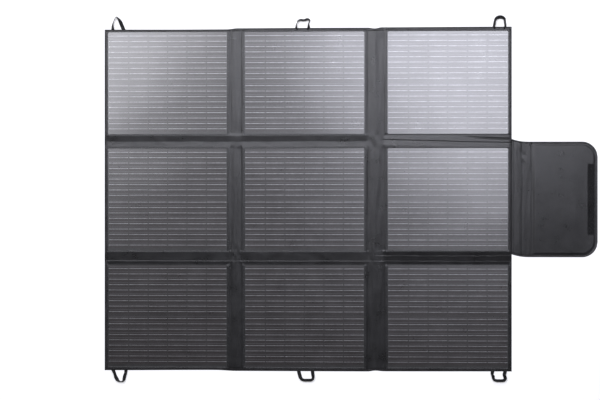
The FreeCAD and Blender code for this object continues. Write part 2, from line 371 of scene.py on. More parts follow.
def strip_solid(name, xs, ys, height=cloth_height, place=None):
    """A closed piece of cloth over a grid, flat on its back; place may bend the grid's outline."""
    bm = bmesh.new()
    top, back = [], []
    for y in ys:
        spots = [place(px, y) if place else (px, y) for px in xs]
        top.append([bm.verts.new((a, b + hem_creep(a, b), height(a, b))) for a, b in spots])
        back.append([bm.verts.new((a, b + hem_creep(a, b), BACK)) for a, b in spots])
    rows = len(ys)
    for j in range(rows - 1):
        bridge(bm, top[j], top[j + 1], closed=False)
        bridge(bm, back[j], back[j + 1], closed=False)

    def rim(grid):
        edge = list(grid[0]) + [grid[j][-1] for j in range(1, rows)]
        edge += list(reversed(grid[-1][:-1])) + [grid[j][0] for j in range(rows - 2, 0, -1)]
        return edge

    bridge(bm, rim(top), rim(back))
    return finish_mesh(bm, name, CLOTH)


def frame_loops(inner, radius, outer, size, corner_steps=6):
    """Points anticlockwise round a rounded rectangle, and partners on a square one round it."""
    signs = ((1, 1), (-1, 1), (-1, -1), (1, -1))
    inside, outside = [], []
    for n, (sx, sy) in enumerate(signs):
        centre = Vector((
            (inner.x1 if sx > 0 else inner.x0) - sx * radius,
            (inner.y1 if sy > 0 else inner.y0) - sy * radius,
        ))
        corner = Vector((outer.x1 if sx > 0 else outer.x0, outer.y1 if sy > 0 else outer.y0))
        first = n % 2 == 0  # the arc starts on an upright side at the first and third corners
        for i in range(corner_steps + 1):
            turn = (n + i / corner_steps) * math.pi / 2
            inside.append((centre.x + radius * math.cos(turn), centre.y + radius * math.sin(turn)))
            share = abs(1 - 2 * i / corner_steps)
            on_upright = (i * 2 <= corner_steps) == first
            if on_upright:
                outside.append((corner.x, corner.y + (centre.y - corner.y) * share))
            else:
                outside.append((corner.x + (centre.x - corner.x) * share, corner.y))
        nx, ny = signs[(n + 1) % 4]
        turn = (n + 1) * math.pi / 2
        start = Vector(inside[-1])
        goal = Vector((
            (inner.x1 if nx > 0 else inner.x0) - nx * radius + radius * math.cos(turn),
            (inner.y1 if ny > 0 else inner.y0) - ny * radius + radius * math.sin(turn),
        ))
        count = max(2, round((goal - start).length / size))
        for k in range(1, count):
            point = start.lerp(goal, k / count)
            inside.append(tuple(point))
            outside.append((point.x, corner.y) if first else (corner.x, point.y))
    return inside, outside


def tile_cloth(row, column, outer):
    """Cloth shell of one tile: the frame round its window, the pocket under it and its back."""
    inner = WINDOW[row, column]
    inner_points, outer_points = frame_loops(inner, WINDOW_RADIUS, outer, 4.0 * MM)
    bm = bmesh.new()

    def ring(points, height):
        return [bm.verts.new((x, y + hem_creep(x, y), height(x, y))) for x, y in points]

    loops = []
    for n in range(RING_COUNT + 1):
        share = n / RING_COUNT
        between = [
            (ax + (bx - ax) * share, ay + (by - ay) * share)
            for (ax, ay), (bx, by) in zip(inner_points, outer_points)
        ]
        loops.append(ring(between, cloth_height))
    foot = ring(outer_points, lambda x, y: BACK)
    lip_bottom = LAMINATE_TOP + 0.06 * MM
    pocket_floor = low(f"laminate_{row}_{column}").z - 0.05 * MM
    pocket_points = frame_loops(inner, WINDOW_RADIUS, inner.grown(LIP + 0.3 * MM), 4.0 * MM)[1]
    under_lip = ring(inner_points, lambda x, y: lip_bottom)
    wall_top = ring(pocket_points, lambda x, y: lip_bottom)
    wall_foot = ring(pocket_points, lambda x, y: pocket_floor)
    chain = [foot] + loops[::-1] + [under_lip, wall_top, wall_foot]
    return closed_tube(bm, chain, f"tile_cloth_{row}_{column}", CLOTH)


# ---------------------------------------------------------------- shader groups
class Nodes:
    """Short calls for building a node tree."""

    def __init__(self, tree):
        self.tree = tree

    def add(self, kind, settings=None, **inputs):
        """A node with its settings and its inputs, by name; an input is a value or a socket."""
        node = self.tree.nodes.new(kind)
        for key, value in (settings or {}).items():
            setattr(node, key, value)
        for key, value in inputs.items():
            name = key.replace("_", " ")
            socket = next(s for s in node.inputs if s.name.lower() == name.lower() and s.enabled)
            self.put(socket, value)
        return node

    def put(self, socket, value):
        """Sets a socket, or links another socket to it."""
        if isinstance(value, bpy.types.NodeSocket):
            self.tree.links.new(value, socket)
        else:
            socket.default_value = value

    def math(self, operation, a, b=0.0, clamp=False):
        """A Math node's result."""
        node = self.tree.nodes.new("ShaderNodeMath")
        node.operation = operation
        node.use_clamp = clamp
        self.put(node.inputs[0], a)
        self.put(node.inputs[1], b)
        return node.outputs[0]

    def plus(self, a, b):
        return self.math("ADD", a, b)

    def minus(self, a, b):
        return self.math("SUBTRACT", a, b)

    def times(self, a, b):
        return self.math("MULTIPLY", a, b)

    def size_of(self, a):
        return self.math("ABSOLUTE", a)

    def mix_colour(self, factor, a, b):
        """A colour between a and b."""
        node = self.tree.nodes.new("ShaderNodeMix")
        node.data_type = "RGBA"
        self.put(node.inputs["Factor"], factor)
        self.put(node.inputs[6], a)
        self.put(node.inputs[7], b)
        return node.outputs[2]

    def noise(self, vector, scale, detail=2.0, rough=0.5):
        """A Noise Texture's factor."""
        return self.add(
            "ShaderNodeTexNoise", Vector=vector, Scale=scale, Detail=detail, Roughness=rough
        ).outputs["Fac"]

    def spread(self, value, low_in, high_in, low_out, high_out):
        """Map Range, clamped."""
        return self.add(
            "ShaderNodeMapRange", Value=value, From_Min=low_in, From_Max=high_in,
            To_Min=low_out, To_Max=high_out,
        ).outputs[0]


def new_group(name, inputs, outputs):
    """An empty shader group; inputs and outputs are (name, type, default). Gives their sockets."""
    tree = bpy.data.node_groups.new(name, "ShaderNodeTree")
    for direction, sockets in (("INPUT", inputs), ("OUTPUT", outputs)):
        for label, kind, default in sockets:
            socket = tree.interface.new_socket(label, in_out=direction, socket_type=kind)
            if default is not None:
                socket.default_value = default
    source, out = tree.nodes.new("NodeGroupInput"), tree.nodes.new("NodeGroupOutput")
    return Nodes(tree), source.outputs, out.inputs


FLOAT, COLOUR, VECTOR = "NodeSocketFloat", "NodeSocketColor", "NodeSocketVector"


def woven_cloth_group():
    """Plain weave: threads over and under each other, with uneven dye and soft dust."""
    n, source, out = new_group(
        "WovenCloth",
        (
            ("Position", VECTOR, None), ("Thread Pitch", FLOAT, 0.0006),
            ("Colour", COLOUR, (0.1, 0.1, 0.1, 1)), ("Dust", FLOAT, 0.3),
        ),
        (("Colour", COLOUR, None), ("Height", FLOAT, None), ("Roughness", FLOAT, None)),
    )
    position, pitch = source["Position"], source["Thread Pitch"]
    axes = n.add("ShaderNodeSeparateXYZ", Vector=position)
    turn = n.math("DIVIDE", math.pi, pitch)
    warp = n.math("SINE", n.times(axes.outputs["X"], turn))
    weft = n.math("SINE", n.times(axes.outputs["Y"], turn))
    weave = n.times(warp, weft)
    height = n.size_of(weave)
    cloudy = n.noise(position, 18.0, 4.0, 0.6)
    fine = n.noise(position, 260.0, 2.0, 0.6)
    shade = n.plus(n.times(cloudy, 0.7), n.times(fine, 0.3))
    darker = n.mix_colour(0.45, source["Colour"], (0.0, 0.0, 0.0, 1))
    lighter = n.mix_colour(0.02, source["Colour"], (0.55, 0.55, 0.6, 1))
    tone = n.mix_colour(n.spread(shade, 0.32, 0.68, 0.0, 1.0), darker, lighter)
    threads = n.mix_colour(n.times(height, 0.35), tone, darker)
    specks = n.spread(n.noise(position, 55.0, 6.0, 0.7), 0.55, 0.8, 0, 0.10)
    dust = n.times(specks, source["Dust"])
    n.put(out["Colour"], n.mix_colour(dust, threads, (0.5, 0.49, 0.47, 1)))
    n.put(out["Height"], n.plus(height, n.times(fine, 0.6)))
    n.put(out["Roughness"], n.spread(shade, 0.3, 0.7, 0.26, 0.33))
    return n.tree


def film_group():
    """Clear film over the cells: faint orange peel, a broad bow, haze and soft smears."""
    n, source, out = new_group(
        "ClearFilm",
        (("Position", VECTOR, None), ("Haze", FLOAT, 0.3)),
        (("Height", FLOAT, None), ("Coat Weight", FLOAT, None), ("Roughness", FLOAT, None)),
    )
    position = source["Position"]
    peel = n.noise(position, 420.0, 1.0, 0.5)
    bow = n.noise(position, 5.0, 1.0, 0.4)
    smear = n.noise(position, 14.0, 3.0, 0.6)
    n.put(out["Height"], n.plus(n.times(peel, 0.004), bow))
    n.put(out["Coat Weight"], n.spread(smear, 0.3, 0.7, 0.92, 1.0))
    uneven = n.spread(smear, 0.3, 0.7, -0.03, 0.03)
    n.put(out["Roughness"], n.plus(source["Haze"], uneven))
    return n.tree


GROUPS = {"WovenCloth": woven_cloth_group(), "ClearFilm": film_group()}


def new_material(name):
    """An empty material with a Principled BSDF, and Object coordinates ready."""
    material = bpy.data.materials.new(name)
    material.use_nodes = True
    n = Nodes(material.node_tree)
    shader = material.node_tree.nodes["Principled BSDF"]
    position = material.node_tree.nodes.new("ShaderNodeTexCoord").outputs["Object"]
    return material, n, shader, position


def use_group(n, name, **inputs):
    """A group node with its inputs set."""
    node = n.tree.nodes.new("ShaderNodeGroup")
    node.node_tree = GROUPS[name]
    for key, value in inputs.items():
        n.put(node.inputs[key.replace("_", " ")], value)
    return node


def add_bump(n, shader, height, distance):
    """Bump from a height field into the shader's normal."""
    normal = n.add("ShaderNodeBump", Height=height, Distance=distance).outputs["Normal"]
    n.put(shader.inputs["Normal"], normal)
    return normal


def cloth_material(name, colour, pitch, depth, dust=0.3, sheen=0.04, gloss=0.5):
    """Woven polyester."""
    material, n, shader, position = new_material(name)
    weave = use_group(
        n, "WovenCloth", Position=position, Thread_Pitch=pitch, Colour=colour, Dust=dust
    )
    n.put(shader.inputs["Base Color"], weave.outputs["Colour"])
    n.put(shader.inputs["Roughness"], weave.outputs["Roughness"])
    shader.inputs["Sheen Weight"].default_value = sheen
    shader.inputs["Specular IOR Level"].default_value = gloss
    shader.inputs["Sheen Roughness"].default_value = 0.45
    add_bump(n, shader, weave.outputs["Height"], depth)
    return material


def film_material(name, colour_of, haze=0.3, metallic=0.0):
    """A surface under the clear film; colour_of(nodes, position) gives its base colour."""
    material, n, shader, position = new_material(name)
    film = use_group(n, "ClearFilm", Position=position, Haze=haze)
    n.put(shader.inputs["Base Color"], colour_of(n, position))
    n.put(shader.inputs["Coat Weight"], film.outputs["Coat Weight"])
    n.put(shader.inputs["Roughness"], film.outputs["Roughness"])
    shader.inputs["Metallic"].default_value = metallic
    shader.inputs["Coat Roughness"].default_value = 0.2
    shader.inputs["Coat IOR"].default_value = 1.5
    normal = add_bump(n, shader, film.outputs["Height"], 0.9 * MM)
    n.put(shader.inputs["Coat Normal"], normal)
    return material


def patchy(n, position, scale, dark, light):
    """A colour that goes from dark to light in soft patches."""
    share = n.spread(n.noise(position, scale, 3.0), 0.35, 0.65, 0.0, 1.0)
    return n.mix_colour(share, (*dark, 1), (*light, 1))


def cell_colour(n, position):
    """Blue-black silicon with fine printed fingers across the strip."""
    axes = n.add("ShaderNodeSeparateXYZ", Vector=position)
    finger = n.size_of(n.math("SINE", n.times(axes.outputs["X"], math.pi / FINGER_PITCH)))
    line = n.spread(finger, 0.10, 0.02, 0.0, 1.0)
    body = patchy(n, position, 30.0, (0.0085, 0.0058, 0.0060), (0.0135, 0.0098, 0.0105))
    body = n.mix_colour(n.times(line, 0.35), body, (0.28, 0.28, 0.32, 1))
    y = axes.outputs["Y"]
    row = n.math("ROUND", n.math("DIVIDE", y, ROW_PITCH))
    along = n.size_of(n.minus(y, n.times(row, ROW_PITCH)))
    turn = n.times(n.minus(along, BANK_OFFSET), math.pi / RIBBON_PITCH)
    wide = n.spread(n.size_of(n.math("COSINE", turn)), 0.13, 0.08, 0.0, 1.0)
    return n.mix_colour(n.times(wide, 0.75), body, (0.07, 0.07, 0.078, 1))


def backsheet_colour(n, position):
    """Black backing between the strips."""
    return patchy(n, position, 40.0, (0.013, 0.013, 0.014), (0.020, 0.0195, 0.021))


def ribbon_colour(n, position):
    """Tinned copper, dulled in places."""
    return patchy(n, position, 160.0, (0.17, 0.17, 0.177), (0.26, 0.26, 0.27))


CLOTH = cloth_material(
    "mat_cloth", (0.0105, 0.0105, 0.0115, 1), 0.55 * MM, 0.05 * MM, dust=0.06, sheen=0.03, gloss=0.36
)
WEBBING = cloth_material(
    "webbing_tape", (0.005, 0.005, 0.0054, 1), 0.9 * MM, 0.2 * MM, dust=0.05, sheen=0.02, gloss=0.18
)
BINDING_TAPE = cloth_material("binding_tape", (0.022, 0.022, 0.024, 1), 0.8 * MM, 0.15 * MM, 0.2)
THREAD = cloth_material("sewing_thread", (0.075, 0.075, 0.08, 1), 0.25 * MM, 0.05 * MM, 0.0)
HOOKS = cloth_material("hook_tape", (0.008, 0.008, 0.009, 1), 0.9 * MM, 0.2 * MM, 0.05, 0.0, 0.12)
FLEECE = cloth_material("loop_tape", (0.020, 0.020, 0.021, 1), 1.3 * MM, 0.5 * MM, 0.5, 0.6)
CELL = film_material("silicon_cell", cell_colour)
BACKSHEET = film_material("laminate_backsheet", backsheet_colour)
RIBBON = film_material("tinned_ribbon", ribbon_colour, haze=0.40, metallic=1.0)

# ---------------------------------------------------------------- the mat's pieces
RING_COUNT = 15
FINE = 1.5 * MM
SEAM_GAP = 10.0 * MM  # window to where the strips between rows begin


def row_limits(row):
    """Lowest and highest Y of a tile's own cloth; the strips between rows lie past that."""
    window = WINDOW[row, "centre"]
    low_y = MAT.y0 if row == "bottom" else window.y0 - SEAM_GAP
    high_y = MAT.y1 if row == "top" else window.y1 + SEAM_GAP
    return low_y, high_y


COLUMN_LIMITS = {
    "left": (MAT.x0, SPINE["left"].x0),
    "centre": (SPINE["left"].x1, SPINE["right"].x0),
    "right": (SPINE["right"].x1, MAT.x1),
}
CREASE_OVERLAP = 3.0 * MM  # a crease's cloth reaches this far onto the tile
FOLDING_ROWS = (("top", 1), ("bottom", -1))


def send(obj, body, *nodes, slot="mat_cloth"):
    """Makes a piece ride on a body, in place of CAD nodes if any are named."""
    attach(obj, body)
    if nodes:
        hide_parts(*nodes)


def bend_row(obj, x, sign):
    """Bakes a piece's placement into its mesh."""
    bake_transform(obj)


def bend_column(obj, crease):
    """Bakes a piece's placement into its mesh."""
    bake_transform(obj)


def row_gap_limits(row, sign):
    """Lowest and highest Y of the cloth between the middle row and another one."""
    near = sign * row_limits("middle")[1]
    far = row_limits(row)[0] if sign > 0 else row_limits(row)[1]
    return min(near, far), max(near, far)


for row in ROWS:
    y0, y1 = row_limits(row)
    for column in COLUMNS:
        x0, x1 = COLUMN_LIMITS[column]
        if row == "middle":
            if column != "left":
                x0 += CREASE_OVERLAP
            if column != "right":
                x1 -= CREASE_OVERLAP
        shell = tile_cloth(row, column, Rect(x0, x1, y0, y1))
        send(shell, f"tile_{row}_{column}", f"cover_{row}_{column}")

# strips between rows, one for each column and each spine
for row, sign in FOLDING_ROWS:
    strips = [("tile", c, c, 3.0 * MM, COLUMN_LIMITS[c]) for c in COLUMNS]
    strips += [("spine", s, f"spine_{s}", FINE, (SPINE[s].x0, SPINE[s].x1)) for s in SIDES]
    for kind, place, label, size, (x0, x1) in strips:
        ys = steps(*row_gap_limits(row, sign), 0.7 * MM)
        strip = strip_solid(f"row_fold_{row}_{label}", steps(x0, x1, size), ys)
        bend_row(strip, (x0 + x1) / 2, sign)

# the spines: cloth for their two creases in the middle row, and in the other rows cloth that rides
# rigidly on them
y0, y1 = row_limits("middle")
for side in SIDES:
    spine = SPINE[side]
    spine_body = f"spine_middle_{side}"
    outwards = -1 if side == "left" else 1
    for label, away in (("inner", -outwards), ("outer", outwards)):
        crease = spine.x1 if away > 0 else spine.x0
        xs = steps(spine.x, crease + away * CREASE_OVERLAP, FINE)
        strip = strip_solid(f"column_crease_{side}_{label}", sorted(xs), steps(y0, y1, 3 * MM))
        if label == "inner":
            bend_column(strip, crease)
            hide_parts(spine_body)
        else:
            bend_column(strip, crease)
    for row, _ in FOLDING_ROWS:
        xs, ys = steps(spine.x0, spine.x1, FINE), steps(*row_limits(row), 2.5 * MM)
        piece = strip_solid(f"spine_cloth_{row}_{side}", xs, ys)
        send(piece, f"spine_{row}_{side}", f"spine_{row}_{side}")

# ---------------------------------------------------------------- closing flap
FLAP_HALF = FLAP.half_y
FLAP_ROUND = FLAP.x1 - FLAP_RADIUS  # where the rounded end begins
ROOT_SHIFT = 9.5 * MM  # the flap is sewn on a little low, so its sides run down from its root
ROOT_REACH = 62 * MM


def flap_sides(x):
    """Lowest and highest Y of the flap, from its root to its rounded end."""
    left = max(0.0, 1 - (x - MAT.x1) / ROOT_REACH)
    shift = ROOT_SHIFT * left**2.4
    half = FLAP_HALF
    if x > FLAP_ROUND:
        run = min(FLAP_RADIUS, x - FLAP_ROUND)
        half += math.sqrt(FLAP_RADIUS**2 - run**2) - FLAP_RADIUS
    return shift - half, shift + half


def flap_inset(x, y):
    """Distance from the flap's bound edge, inwards."""
    low_y, high_y = flap_sides(min(x, FLAP_ROUND))
    body = Rect(FLAP.x0 - 0.3, FLAP.x1, low_y, high_y)
    return -body.distance(x, y, FLAP_RADIUS)


def flap_height(x, y):
    """Front surface of the flap and of the creased cloth that carries it."""
    inset = flap_inset(x, y)
    panel = ramp(FLAP.x0 + 2 * MM, FLAP.x0 + 12 * MM, x)
    panel *= ramp(FLAP_SEAM - 4 * MM, FLAP_SEAM + 1 * MM, inset)
    height = CLOTH_TOP + (FLAP_TOP - CLOTH_TOP) * panel
    carrier = ramp(FLAP.x0 + 8 * MM, FLAP.x0 - 8 * MM, x) * ramp(MAT.x1, MAT.x1 + 10 * MM, x)
    wander = 2.5 * MM * rough(x * 0.1, y, 1, 110 * MM, 35.0)
    for crease, depth, width in (
        (FLAP_SPINE.x0, 0.5, 2.4), (FLAP_SPINE.x0 + 27 * MM, 0.45, 3.2),
        (FLAP.x0 - 1 * MM, 0.55, 2.2),
    ):
        height -= depth * MM * bump_at(x + wander, crease, width * MM)
    ripple = 0.55 * rough(x, y, 12 * MM, 90 * MM, 30.0) + 0.2 * rough(x, y, 8 * MM, 26 * MM, 32.0)
    height += carrier * MM * (ripple + 0.5 * bump_at(x, FLAP_SPINE.x0 + 15 * MM, 9 * MM))
    far = math.hypot((x - FLAP_SPINE.x0 - 38 * MM) / 30, (y - FLAP_HALF + 34 * MM) / 34) / MM
    if far < 1.8:
        folds = rough(x + 0.5 * y, y - 0.6 * x, 14 * MM, 34 * MM, 31.0)
        folds += 0.25 * rough(x, y, 9 * MM, 14 * MM, 36.0)
        height += ramp(1.8, 0.4, far) * 0.9 * MM * folds
    crown = ramp(low("hook_strip").x - 6 * MM, low("hook_strip").x - 50 * MM, x)
    height += panel * crown * MM * 1.3 * (1 - (y / FLAP_HALF) ** 2)
    waves = 0.45 * rough(x, y, 90 * MM, 130 * MM, 33.0)
    waves += 0.12 * rough(x, y, 25 * MM, 40 * MM, 34.0)
    height += panel * MM * waves
    if inset < BINDING and x > MAT.x1:
        across = (inset - BINDING / 2) / (BINDING / 2)
        return max(1.2 * MM + 1.3 * MM * math.sqrt(max(0.0, 1 - across * across)), BACK + 0.5 * MM)
    height -= 0.5 * MM * bump_at(inset, BINDING + 0.6 * MM, 0.7 * MM)
    return max(height, BACK + 0.4 * MM)


def flap_strip(name, xs):
    """A length of the flap as closed cloth, its sides following the flap's outline."""
    edge = [i * 0.7 * MM for i in range(10)] + [e * MM for e in (8, 9.5, 11, 12.5, 14, 16)]
    inner = FLAP_HALF - edge[-1]
    ys = [-(FLAP_HALF - e) for e in edge] + steps(-inner, inner, 4 * MM)[1:-1]
    ys += [FLAP_HALF - e for e in edge[::-1]]

    def place(x, y):
        low_y, high_y = flap_sides(x)
        return x, low_y + (y + FLAP_HALF) / (2 * FLAP_HALF) * (high_y - low_y)

    return strip_solid(name, xs, ys, flap_height, place)


FLAP_START = FLAP.x0 + 4 * MM  # past the outer crease
root = flap_strip("flap_root_cloth", steps(MAT.x1, FLAP_SPINE.x, FINE))
bend_column(root, FLAP_SPINE.x0)
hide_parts("flap_spine")
link = flap_strip("flap_crease_cloth", steps(FLAP_SPINE.x, FLAP_START, FINE))
bend_column(link, FLAP.x0)
flap_xs = steps(FLAP_START, FLAP_ROUND, 2.5 * MM)
flap_xs += [FLAP.x1 - FLAP_RADIUS * math.cos(turn * math.pi / 60) for turn in range(1, 30)]
flap_xs += [FLAP.x1 - 0.02 * MM]
send(flap_strip("flap_cloth", flap_xs), "flap", "flap_cover")

# ---------------------------------------------------------------- node-made repeats
class Shapes(Nodes):
    """The same short calls, for a tree of geometry nodes with named inputs."""

    def __init__(self, name, inputs):
        tree = bpy.data.node_groups.new(name, "GeometryNodeTree")
        super().__init__(tree)
        geometry = "NodeSocketGeometry"
        tree.interface.new_socket("Geometry", in_out="INPUT", socket_type=geometry)
        for label, kind, default in inputs:
            socket = tree.interface.new_socket(label, in_out="INPUT", socket_type=kind)
            if default is not None:
                socket.default_value = default
        tree.interface.new_socket("Geometry", in_out="OUTPUT", socket_type=geometry)
        self.source = tree.nodes.new("NodeGroupInput").outputs
        self.result = tree.nodes.new("NodeGroupOutput").inputs[0]

    def triple(self, x, y, z):
        """A vector from three numbers or sockets."""
        return self.add("ShaderNodeCombineXYZ", X=x, Y=y, Z=z).outputs[0]

    def real(self, geometry):
        """Instances as real geometry."""
        return self.add("GeometryNodeRealizeInstances", Geometry=geometry).outputs[0]

    def line(self, count, start, offset):
        """A line of points."""
        return self.add(
            "GeometryNodeMeshLine", Count=count, Start_Location=start, Offset=offset
        ).outputs[0]

    def random(self, least, most, seed):
        """A number of its own for each point."""
        return self.add(
            "FunctionNodeRandomValue", {"data_type": "FLOAT"}, Min=least, Max=most, Seed=seed
        ).outputs[1]

    def join(self, *parts):
        """Several geometries as one."""
        node = self.tree.nodes.new("GeometryNodeJoinGeometry")
        for part in parts:
            self.tree.links.new(part, node.inputs[0])
        return node.outputs[0]

    def instance(self, points, shape, rotation=(0, 0, 0), scale=(1, 1, 1)):
        """A shape on each point."""
        return self.add(
            "GeometryNodeInstanceOnPoints", Points=points, Instance=shape,
            Rotation=rotation, Scale=scale,
        ).outputs[0]

    def finish(self, geometry):
        """Real geometry with its material, as the tree's end."""
        dressed = self.add(
            "GeometryNodeSetMaterial", Geometry=self.real(geometry),
            Material=self.source["Material"],
        )
        self.put(self.result, dressed.outputs[0])
        return self.tree


def grown_by(tree, name, mesh, **values):
    """The plain mesh that a tree grows from a mesh, as an object."""
    carrier = new_object(name + "_carrier", mesh)
    modifier = carrier.modifiers.new("grow", "NODES")
    modifier.node_group = tree
    for item in tree.interface.items_tree:
        key = item.name.replace(" ", "_")
        if item.in_out == "INPUT" and key in values:
            modifier[item.identifier] = values[key]
    depsgraph = bpy.context.evaluated_depsgraph_get()
    grown = bpy.data.meshes.new_from_object(carrier.evaluated_get(depsgraph))
    bpy.data.objects.remove(carrier)
    grown.name = name
    grown.polygons.foreach_set("use_smooth", [True] * len(grown.polygons))
    grown.set_sharp_from_angle(angle=math.radians(55))
    return new_object(name, grown)


def points_mesh(name, points, edges=()):
    """A mesh of loose points, or of lines."""
    mesh = bpy.data.meshes.new(name)
    mesh.from_pydata([tuple(p) for p in points], list(edges), [])
    return mesh


LENGTH, COUNT, MATERIAL = "NodeSocketFloat", "NodeSocketInt", "NodeSocketMaterial"


def ribbon_tree():
    """Ribbons over one bank of cell strips, broken at the gaps, with solder at each end."""
    n = Shapes("CellRibbons", (
        ("Ribbon Count", COUNT, 9), ("Ribbon Pitch", LENGTH, 0.0182),
        ("Ribbon Width", LENGTH, 0.0015), ("Ribbon Height", LENGTH, 0.0003),
        ("Strip Count", COUNT, 6), ("Strip Pitch", LENGTH, 0.066),
        ("Ribbon Break", LENGTH, 0.0034), ("Solder Size", LENGTH, 0.0026),
        ("Wander", LENGTH, 0.0003), ("End Tab", LENGTH, 0.0036), ("Material", MATERIAL, None),
    ))
    i = n.source
    wide, thick = i["Ribbon Width"], i["Ribbon Height"]
    half_x = n.times(n.minus(i["Strip Count"], 1.0), n.times(i["Strip Pitch"], -0.5))
    half_y = n.times(n.minus(i["Ribbon Count"], 1.0), n.times(i["Ribbon Pitch"], -0.5))
    across = n.line(i["Strip Count"], n.triple(half_x, half_y, 0), n.triple(i["Strip Pitch"], 0, 0))
    up = n.line(i["Ribbon Count"], (0, 0, 0), n.triple(0, i["Ribbon Pitch"], 0))
    places = n.real(n.instance(i["Geometry"], n.instance(across, up)))
    shift = n.random(-1.0, 1.0, 4)
    offset = n.triple(0, n.times(shift, i["Wander"]), 0)
    places = n.add("GeometryNodeSetPosition", Geometry=places, Offset=offset).outputs[0]
    bar = n.add("GeometryNodeMeshCube", Size=(1, 1, 1)).outputs["Mesh"]
    long = n.minus(i["Strip Pitch"], i["Ribbon Break"])
    bars = n.instance(places, bar, scale=n.triple(long, wide, thick))
    dot = n.add("GeometryNodeMeshUVSphere", Segments=8, Rings=4, Radius=0.5).outputs["Mesh"]
    dot_size = n.triple(i["Solder Size"], n.times(wide, 1.25), n.times(thick, 1.5))
    reach = n.times(n.minus(long, n.times(i["Solder Size"], 1.6)), 0.5)
    ends = []
    for side in (-1.0, 1.0):
        offset = n.triple(n.times(reach, side), 0, 0)
        moved = n.add("GeometryNodeSetPosition", Geometry=places, Offset=offset).outputs[0]
        ends.append(n.instance(moved, dot, scale=dot_size))
    past = n.plus(n.times(half_x, -2.0), n.plus(long, i["End Tab"]))
    pair = n.line(2, n.triple(n.times(past, -0.5), half_y, 0), n.triple(past, 0, 0))
    tab_places = n.real(n.instance(i["Geometry"], n.real(n.instance(pair, up))))
    tabs = n.instance(tab_places, bar, scale=n.triple(i["End Tab"], n.times(wide, 1.3), thick))
    return n.finish(n.join(bars, tabs, *ends))


def stitch_tree():
    """A row of lockstitches along lines of edges."""
    n = Shapes("StitchRow", (
        ("Stitch Pitch", LENGTH, 0.005), ("Stitch Length", LENGTH, 0.0034),
        ("Thread Width", LENGTH, 0.0009), ("Material", MATERIAL, None),
    ))
    i = n.source
    curve = n.add("GeometryNodeMeshToCurve", Mesh=i["Geometry"]).outputs[0]
    spaced = n.add(
        "GeometryNodeResampleCurve", {"mode": "LENGTH"}, Curve=curve, Length=i["Stitch Pitch"]
    ).outputs[0]
    tangent = n.tree.nodes.new("GeometryNodeInputTangent").outputs[0]
    along = n.add("FunctionNodeAlignRotationToVector", {"axis": "X"}, Vector=tangent).outputs[0]
    body = n.add("GeometryNodeMeshUVSphere", Segments=6, Rings=5, Radius=0.5).outputs["Mesh"]
    body = n.add("GeometryNodeTransform", Geometry=body, Rotation=(0, math.pi / 2, 0)).outputs[0]
    loose = n.random(0.85, 1.1, 7)
    size = n.triple(n.times(i["Stitch Length"], loose), i["Thread Width"], i["Thread Width"])
    return n.finish(n.instance(spaced, body, along, size))


def hook_tree():
    """Rows of small hooks on a tape, each leaning its own way."""
    n = Shapes("TapeHooks", (
        ("Tape Width", LENGTH, 0.02), ("Tape Length", LENGTH, 0.234),
        ("Hook Pitch", LENGTH, 0.0017), ("Hook Height", LENGTH, 0.0009),
        ("Lean", LENGTH, 0.5), ("Material", MATERIAL, None),
    ))
    i = n.source
    width, length, pitch = i["Tape Width"], i["Tape Length"], i["Hook Pitch"]
    rows_x, rows_y = n.math("DIVIDE", width, pitch), n.math("DIVIDE", length, pitch)
    grid = n.add(
        "GeometryNodeMeshGrid", Size_X=width, Size_Y=length, Vertices_X=rows_x, Vertices_Y=rows_y
    ).outputs["Mesh"]
    spots = n.real(n.instance(i["Geometry"], grid))
    hook = n.add(
        "GeometryNodeMeshCone", Vertices=5, Radius_Top=0.34, Radius_Bottom=0.22, Depth=1.0
    ).outputs["Mesh"]
    lean = n.add("FunctionNodeRandomValue", {"data_type": "FLOAT_VECTOR"}, Seed=11)
    back = n.times(i["Lean"], -1.0)
    n.put(lean.inputs[0], n.triple(back, back, 0))
    n.put(lean.inputs[1], n.triple(i["Lean"], i["Lean"], 3.0))
    size = n.triple(i["Hook Height"], i["Hook Height"], i["Hook Height"])
    return n.finish(n.instance(spots, hook, lean.outputs[0], size))


RIBBONS, STITCHES, TAPE_HOOKS = ribbon_tree(), stitch_tree(), hook_tree()

# ribbons on every tile
for row in ROWS:
    for column in COLUMNS:
        cells, top = rect_of(f"cells_{row}_{column}"), high(f"cells_{row}_{column}").z
        middles = [(cells.x, cells.y + sign * BANK_OFFSET, top + 0.06 * MM) for sign in (-1, 1)]
        ribbons = grown_by(
            RIBBONS, f"tinned_ribbons_{row}_{column}", points_mesh("bank_middles", middles),
            Ribbon_Pitch=RIBBON_PITCH, Strip_Pitch=STRIP_PITCH, Material=RIBBON,
        )
        send(ribbons, f"tile_{row}_{column}", f"ribbons_{row}_{column}", slot="ribbon")


# ---------------------------------------------------------------- sewing
def seam_line(start, end, height=cloth_height, lift=0.15 * MM):
    """Points along a straight seam, lying on the cloth."""
    start, end = Vector(start), Vector(end)
    count = max(2, round((end - start).length / (2.5 * MM)))
    spots = [start.lerp(end, k / count) for k in range(count + 1)]
    return [(p.x, p.y + hem_creep(p.x, p.y), height(p.x, p.y) + lift) for p in spots]


def stitches(name, lines, **sizes):
    """Rows of stitches along several lines of points."""
    points, edges = [], []
    for line in lines:
        first = len(points)
        points += line
        edges += [(first + k, first + k + 1) for k in range(len(line) - 1)]
    seams = points_mesh("seam_lines", points, edges)
    return grown_by(STITCHES, name, seams, Material=THREAD, **sizes)


def box_seam(rect, *height):
    """The seam round a rectangle."""
    return [seam_line(a, b, *height) for a, b in rect.sides()]


